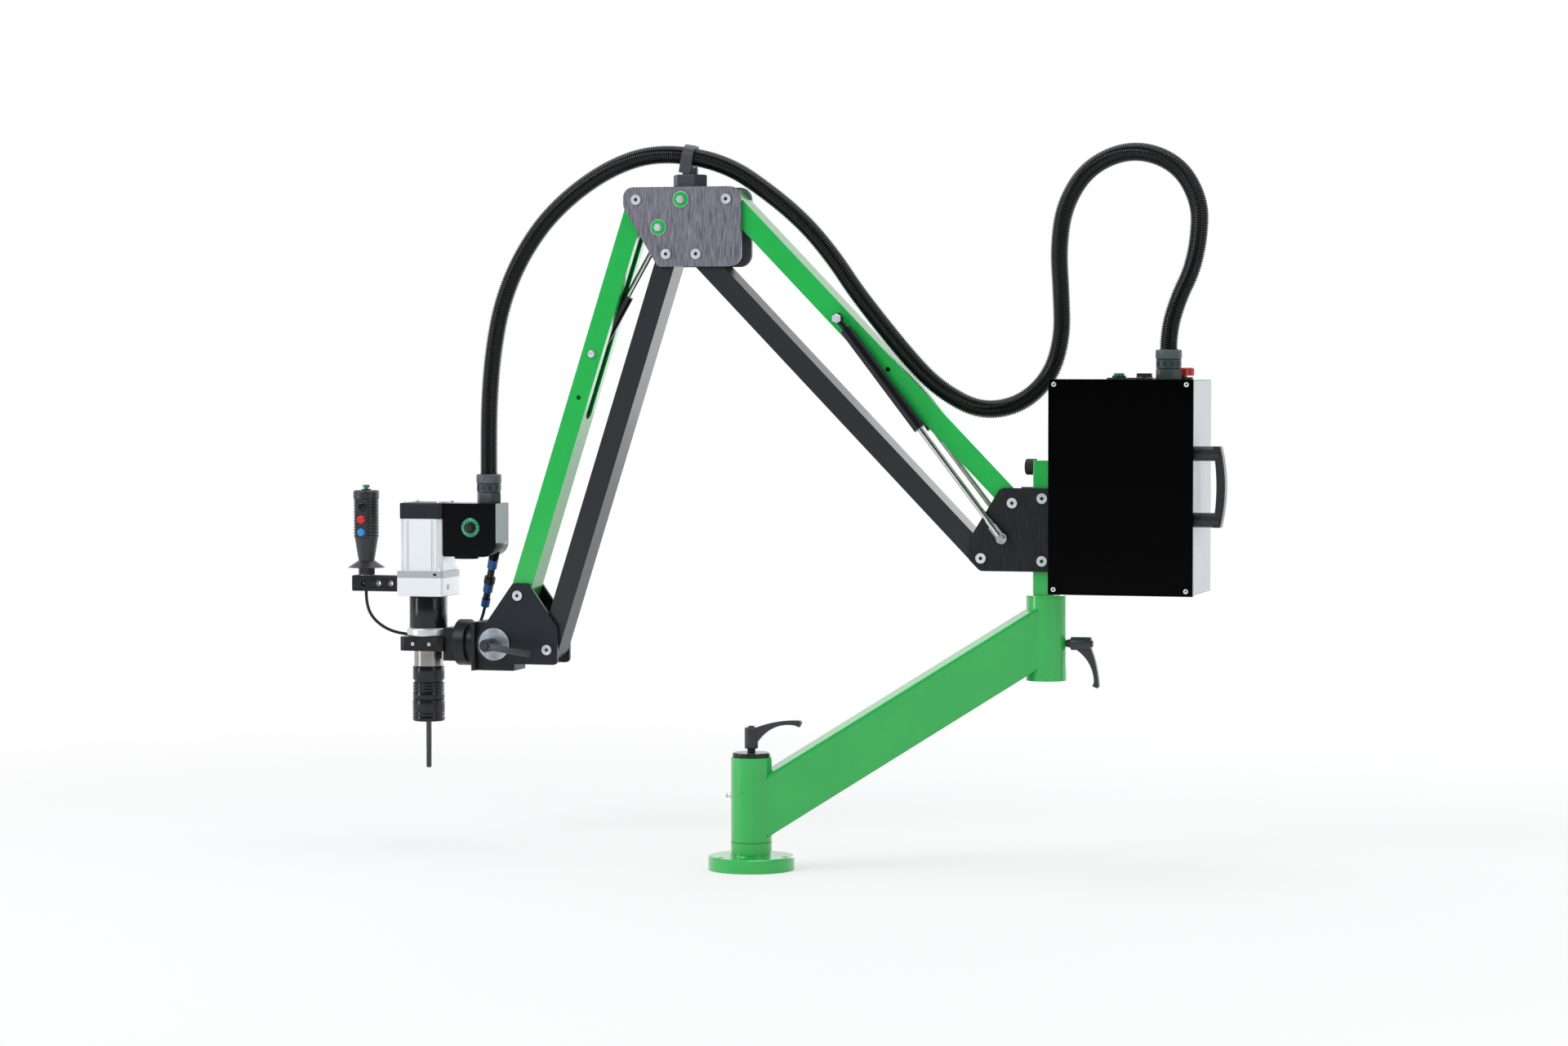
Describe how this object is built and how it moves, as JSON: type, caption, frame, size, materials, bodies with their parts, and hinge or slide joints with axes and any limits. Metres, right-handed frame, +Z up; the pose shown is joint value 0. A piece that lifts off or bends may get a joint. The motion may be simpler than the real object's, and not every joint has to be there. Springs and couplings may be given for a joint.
{
  "type": "arm tapping machine",
  "caption": "Tapping arm for a workbench: swinging base, sprung parallelogram arms, control box and a tilting motor head with grip, chuck and tap.",
  "frame": {"origin": "middle of the base flange's underside, on the base's vertical axis", "axes": "+Z up; +X from the tapping head towards the column, along the arms; +Y away from the viewer of the picture"},
  "size_m": [1.7564, 0.4523, 1.3577],
  "materials": {
    "green_paint": "gloss",
    "black_paint": "satin",
    "dark_plate": "brushed",
    "black_plate": "brushed",
    "bright_steel": "machined",
    "zinc": "zinc plated",
    "motor_metal": "satin",
    "black_metal": "satin",
    "black_oxide": "blackened",
    "black_plastic": "matte",
    "black_rubber": "matte",
    "hose_plastic": "matte",
    "green_button": "gloss",
    "red_button": "gloss",
    "blue_button": "gloss",
    "blue_plastic": "matte",
    "drive_case": "matte"
  },
  "bodies": {
    "base": {"base_pedestal": "green_paint", "sleeve_cap": "black_oxide"},
    "extension": {"extension_arm": "green_paint"},
    "base_lever": {"base_lever": "black_plastic"},
    "column_lever": {"column_lever": "black_plastic"},
    "column": {"column_tube": "green_paint", "bracket_plates": "black_plate", "bracket_bolts": "zinc", "column_bumper": "black_rubber", "box_shell": "green_paint", "box_cover": "black_paint", "box_handle": "black_plastic", "box_switch_base": "black_plastic", "box_gland": "black_plastic", "drive_unit": "drive_case", "hose_loop": "hose_plastic"},
    "box_start_button": {"box_start_button": "green_button"},
    "box_selector": {"box_selector": "black_plastic"},
    "box_stop_button": {"box_stop_button": "red_button"},
    "rear_upper": {"rear_arm_upper": "green_paint", "hose_rear": "hose_plastic"},
    "rear_lower": {"rear_arm_lower": "black_paint"},
    "elbow": {"elbow_plates": "dark_plate", "elbow_bolts": "zinc", "hose_clip": "black_plastic", "hose_front": "hose_plastic"},
    "rear_spring_cylinders": {"rear_spring_cylinders": "black_oxide"},
    "rear_spring_rods": {"rear_spring_rods": "bright_steel"},
    "front_upper": {"front_arm_upper": "green_paint"},
    "front_lower": {"front_arm_lower": "black_paint"},
    "head_plates": {"head_plates": "black_plate", "head_bolts": "zinc"},
    "front_spring_cylinder": {"front_spring_cylinder": "black_oxide"},
    "front_spring_rod": {"front_spring_rod": "bright_steel"},
    "tilt_block": {"tilt_block": "black_metal", "tilt_disc": "zinc"},
    "head_lever": {"head_lever": "black_plastic"},
    "head": {"swivel_flange": "black_metal", "head_clamp": "black_metal", "gearbox": "black_oxide", "gearbox_ring": "bright_steel", "gear_housing": "motor_metal", "motor_body": "motor_metal", "motor_cap": "black_metal", "connector_box": "black_metal", "motor_gland": "black_plastic", "grip_bar": "black_metal", "grip": "black_plastic", "grip_cable": "black_rubber", "cable_connectors": "blue_plastic"},
    "speed_knob": {"speed_knob": "black_plastic"},
    "grip_start_button": {"grip_start_button": "green_button"},
    "grip_black_button": {"grip_black_button": "black_plastic"},
    "grip_red_button": {"grip_red_button": "red_button"},
    "grip_blue_button": {"grip_blue_button": "blue_button"},
    "spindle": {"spindle_nose": "black_oxide", "chuck_body": "black_oxide"},
    "chuck_sleeve": {"chuck_sleeve": "black_oxide"},
    "tap_adapter": {"tap_holder": "black_oxide", "tap": "bright_steel"}
  },
  "joints": [
    {"name": "arm_swing", "type": "hinge", "parent": "base", "child": "extension", "pos_m": [0, 0, 0.1], "axis": [0, 0, 1], "range_deg": [-170, 170]},
    {"name": "base_lever_turn", "type": "hinge", "parent": "base", "child": "base_lever", "pos_m": [0, 0, 0.22], "axis": [0, 0, 1], "range_deg": [-90, 90]},
    {"name": "column_lever_turn", "type": "hinge", "parent": "extension", "child": "column_lever", "pos_m": [0.50333, 0.24549, 0.414], "axis": [1, 0, 0], "range_deg": [-60, 60]},
    {"name": "column_swing", "type": "hinge", "parent": "extension", "child": "column", "pos_m": [0.50333, 0.24549, 0.5], "axis": [0, 0, 1], "range_deg": [-145, 145]},
    {"name": "box_start_press", "type": "slide", "parent": "column", "child": "box_start_button", "axis": [0, 0, -1], "range_m": [0, 0.0025], "stiffness_N_per_m": 300},
    {"name": "box_stop_press", "type": "slide", "parent": "column", "child": "box_stop_button", "axis": [0, 0, -1], "range_m": [0, 0.0025]},
    {"name": "box_selector_turn", "type": "hinge", "parent": "column", "child": "box_selector", "pos_m": [0.68832, 0.24549, 0.907], "axis": [0, 0, 1], "range_deg": [-45, 45]},
    {"name": "rear_arm", "type": "hinge", "parent": "column", "child": "rear_upper", "pos_m": [0.44633, 0.24549, 0.677], "axis": [0, 1, 0], "range_deg": [-20, 25], "deforming": ["hose_loop"]},
    {"name": "rear_link", "type": "hinge", "parent": "column", "child": "rear_lower", "pos_m": [0.38632, 0.24549, 0.573], "axis": [0, 1, 0], "range_deg": [-21, 26]},
    {"name": "elbow_level", "type": "hinge", "parent": "rear_upper", "child": "elbow", "pos_m": [-0.11241, 0.24549, 1.24955], "axis": [0, 1, 0], "range_deg": [-26, 21], "deforming": ["hose_rear"]},
    {"name": "rear_spring_pivot", "type": "hinge", "parent": "rear_upper", "child": "rear_spring_cylinders", "pos_m": [0.10969, 0.24549, 1.02196], "axis": [0, 1, 0], "range_deg": [-2.2, 1.8]},
    {"name": "rear_spring_stroke", "type": "slide", "parent": "rear_spring_cylinders", "child": "rear_spring_rods", "axis": [0.6127, 0, -0.7903], "range_m": [-0.019, 0.0235]},
    {"name": "front_arm", "type": "hinge", "parent": "elbow", "child": "front_upper", "pos_m": [-0.29241, 0.24549, 1.24955], "axis": [0, 1, 0], "range_deg": [-10, 25]},
    {"name": "front_link", "type": "hinge", "parent": "elbow", "child": "front_lower", "pos_m": [-0.23241, 0.24549, 1.14555], "axis": [0, 1, 0], "range_deg": [-13, 26]},
    {"name": "head_level", "type": "hinge", "parent": "front_upper", "child": "head_plates", "pos_m": [-0.53563, 0.24549, 0.48742], "axis": [0, 1, 0], "range_deg": [-26, 13]},
    {"name": "front_spring_pivot", "type": "hinge", "parent": "front_upper", "child": "front_spring_cylinder", "pos_m": [-0.38635, 0.24549, 0.95518], "axis": [0, 1, 0], "range_deg": [-0.8, 1.5]},
    {"name": "front_spring_stroke", "type": "slide", "parent": "front_spring_cylinder", "child": "front_spring_rod", "axis": [0.4989, 0, 0.8667], "range_m": [-0.0145, 0.0295]},
    {"name": "head_tilt", "type": "hinge", "parent": "head_plates", "child": "tilt_block", "pos_m": [-0.58363, 0.24549, 0.39243], "axis": [0, 1, 0], "range_deg": [-25, 5]},
    {"name": "head_lever_turn", "type": "hinge", "parent": "tilt_block", "child": "head_lever", "pos_m": [-0.58363, 0.24549, 0.39243], "axis": [0, -1, 0], "range_deg": [-45, 45]},
    {"name": "head_roll", "type": "hinge", "parent": "tilt_block", "child": "head", "pos_m": [-0.58363, 0.24549, 0.39243], "axis": [1, 0, 0], "range_deg": [-28, 28], "deforming": ["hose_front"]},
    {"name": "speed_knob_turn", "type": "hinge", "parent": "head", "child": "speed_knob", "pos_m": [-0.63363, 0.20949, 0.61792], "axis": [0, -1, 0], "range_deg": [-135, 135]},
    {"name": "grip_start_press", "type": "slide", "parent": "head", "child": "grip_start_button", "axis": [0, 0, -1], "range_m": [0, 0.0025], "stiffness_N_per_m": 300},
    {"name": "grip_black_press", "type": "slide", "parent": "head", "child": "grip_black_button", "axis": [0, 1, 0], "range_m": [0, 0.0025], "stiffness_N_per_m": 300},
    {"name": "grip_red_press", "type": "slide", "parent": "head", "child": "grip_red_button", "axis": [0, 1, 0], "range_m": [0, 0.0025], "stiffness_N_per_m": 300},
    {"name": "grip_blue_press", "type": "slide", "parent": "head", "child": "grip_blue_button", "axis": [0, 1, 0], "range_m": [0, 0.0025], "stiffness_N_per_m": 300},
    {"name": "spindle_turn", "type": "hinge", "parent": "head", "child": "spindle", "pos_m": [-0.73563, 0.24549, 0.37593], "axis": [0, 0, 1], "continuous": true},
    {"name": "chuck_release", "type": "slide", "parent": "spindle", "child": "chuck_sleeve", "axis": [0, 0, 1], "range_m": [0, 0.005], "stiffness_N_per_m": 1500},
    {"name": "tap_lift_off", "type": "slide", "parent": "spindle", "child": "tap_adapter", "axis": [0, 0, -1], "range_m": [0, 0.06]}
  ],
  "couplings": [
    {"joint": "rear_link", "follows": "rear_arm", "ratio": 1},
    {"joint": "elbow_level", "follows": "rear_arm", "ratio": -1},
    {"joint": "rear_spring_pivot", "follows": "rear_arm", "ratio": -0.0815},
    {"joint": "rear_spring_stroke", "follows": "rear_arm", "m_per_rad": 0.05209},
    {"joint": "front_link", "follows": "front_arm", "ratio": 1},
    {"joint": "head_level", "follows": "front_arm", "ratio": -1},
    {"joint": "front_spring_pivot", "follows": "front_arm", "ratio": 0.053},
    {"joint": "front_spring_stroke", "follows": "front_arm", "m_per_rad": 0.06624}
  ]
}
